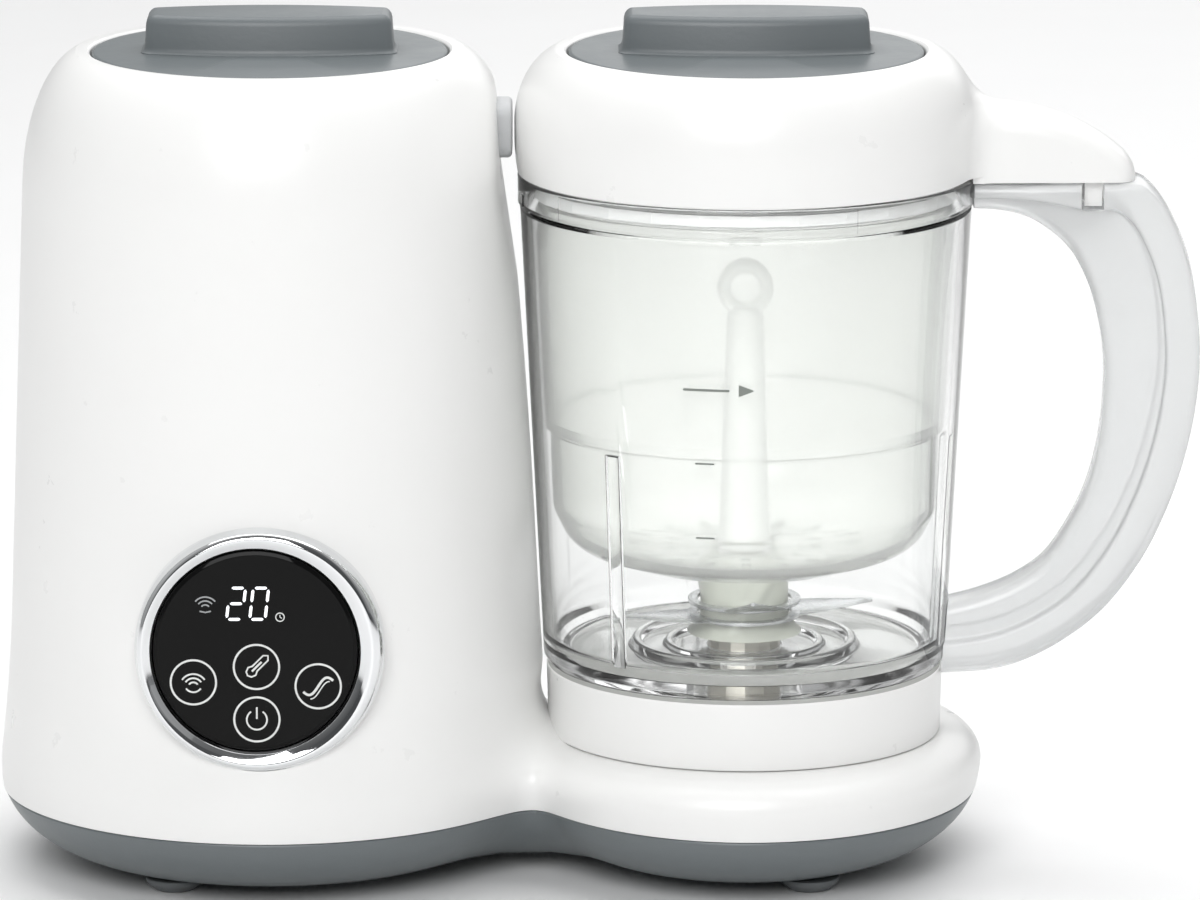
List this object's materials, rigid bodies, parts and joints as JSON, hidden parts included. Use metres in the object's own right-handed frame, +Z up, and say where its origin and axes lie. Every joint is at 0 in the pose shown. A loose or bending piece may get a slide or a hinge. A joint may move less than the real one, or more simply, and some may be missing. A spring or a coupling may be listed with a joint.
{
  "type": "baby food maker",
  "caption": "Steaming tower and clear blending jug side by side on one waisted base, each with a round twist cap; the jug holds a steaming basket over its blades.",
  "frame": {"origin": "centre of the footprint's bounding box, on the surface the feet stand on", "axes": "+Z up, +X from the steaming tower to the jug and its handle, -Y towards the user and the control panel"},
  "size_m": [0.3034, 0.1386, 0.2175],
  "materials": {
    "white_shell": "glossy opaque white",
    "grey_trim": "satin mid grey",
    "clear_jug": "clear with a faint green-grey tint",
    "clear_handle": "clear, lightly clouded",
    "frosted_basket": "lightly frosted, see-through",
    "chrome_ring": "polished",
    "black_glass": "black, mirror-smooth",
    "steel": "brushed",
    "zinc": "zinc plated, dull",
    "rubber": "soft dark grey",
    "silicone": "soft translucent grey",
    "circuit_board": "green solder mask",
    "brass": "plain turned"
  },
  "bodies": {
    "base": {"housing": "white_shell", "tray": "grey_trim", "foot_1": "rubber", "foot_2": "rubber", "foot_3": "rubber", "foot_4": "rubber", "base_screw_1": "zinc", "base_screw_2": "zinc", "base_screw_3": "zinc", "base_screw_4": "zinc", "panel_bezel": "chrome_ring", "panel_glass": "black_glass", "display_module": "black_glass", "control_board": "circuit_board", "water_tank": "steel", "heater": "zinc", "steam_pipe": "silicone", "steam_outlet": "silicone", "power_board": "circuit_board", "cord_gland": "rubber", "motor_plate": "zinc", "motor_screw_1": "zinc", "motor_screw_2": "zinc", "motor_screw_3": "zinc", "motor_can": "zinc", "motor_bearing_lower": "brass", "motor_bearing_upper": "brass", "drive_belt": "rubber", "spindle_housing": "zinc", "spindle_bush_lower": "brass", "spindle_bush_upper": "brass"},
    "motor": {"motor_rotor": "steel", "motor_pulley": "grey_trim"},
    "spindle": {"drive_shaft": "steel", "driven_pulley": "grey_trim", "drive_coupler": "grey_trim"},
    "jug_body": {"jug": "clear_jug", "jug_handle": "clear_handle", "jug_collar": "white_shell", "blade_bearing": "brass"},
    "blade_unit": {"blade_socket": "grey_trim", "blade_shaft": "steel", "blade_hub": "frosted_basket", "blade_lower": "steel", "blade_upper": "steel"},
    "basket_body": {"basket": "frosted_basket", "basket_post": "frosted_basket"},
    "lid_ring": {"lid_seal": "silicone"},
    "lid_body": {"lid": "white_shell", "lid_inner": "clear_handle"},
    "lid_cap_ring": {"lid_cap_seal": "silicone"},
    "lid_cap_body": {"lid_cap": "grey_trim", "lid_cap_plug": "clear_handle"},
    "tank_cap_ring": {"tank_cap_seal": "silicone"},
    "tank_cap_body": {"tank_cap": "grey_trim", "tank_cap_plug": "clear_handle"}
  },
  "joints": [
    {"name": "jug_lift", "type": "slide", "parent": "base", "child": "jug_body", "axis": [0, 0, 1], "range_m": [0, 0.06]},
    {"name": "basket_lift", "type": "slide", "parent": "jug_body", "child": "basket_body", "axis": [0, 0, 1], "range_m": [0, 0.11]},
    {"name": "lid_lift", "type": "slide", "parent": "basket_body", "child": "lid_ring", "axis": [0, 0, 1], "range_m": [0, 0.06]},
    {"name": "lid_turn", "type": "hinge", "parent": "lid_ring", "child": "lid_body", "pos_m": [0.0372, 0, 0.178], "axis": [0, 0, 1], "range_deg": [0, 25]},
    {"name": "lid_cap_lift", "type": "slide", "parent": "lid_body", "child": "lid_cap_ring", "axis": [0, 0, 1], "range_m": [0, 0.04]},
    {"name": "lid_cap_turn", "type": "hinge", "parent": "lid_cap_ring", "child": "lid_cap_body", "pos_m": [0.0372, 0, 0.2036], "axis": [0, 0, 1], "range_deg": [0, 60]},
    {"name": "tank_cap_lift", "type": "slide", "parent": "base", "child": "tank_cap_ring", "axis": [0, 0, 1], "range_m": [0, 0.04]},
    {"name": "tank_cap_turn", "type": "hinge", "parent": "tank_cap_ring", "child": "tank_cap_body", "pos_m": [-0.08235, 0, 0.2036], "axis": [0, 0, 1], "range_deg": [0, 60]},
    {"name": "motor_spin", "type": "hinge", "parent": "base", "child": "motor", "pos_m": [-0.08235, 0, 0.05], "axis": [0, 0, 1], "continuous": true},
    {"name": "spindle_spin", "type": "hinge", "parent": "base", "child": "spindle", "pos_m": [0.0372, 0, 0.025], "axis": [0, 0, 1], "continuous": true},
    {"name": "blade_spin", "type": "hinge", "parent": "jug_body", "child": "blade_unit", "pos_m": [0.0372, 0, 0.055], "axis": [0, 0, 1], "continuous": true}
  ],
  "couplings": [
    {"joint": "spindle_spin", "follows": "motor_spin", "ratio": 0.4},
    {"joint": "blade_spin", "follows": "motor_spin", "ratio": 0.4}
  ]
}
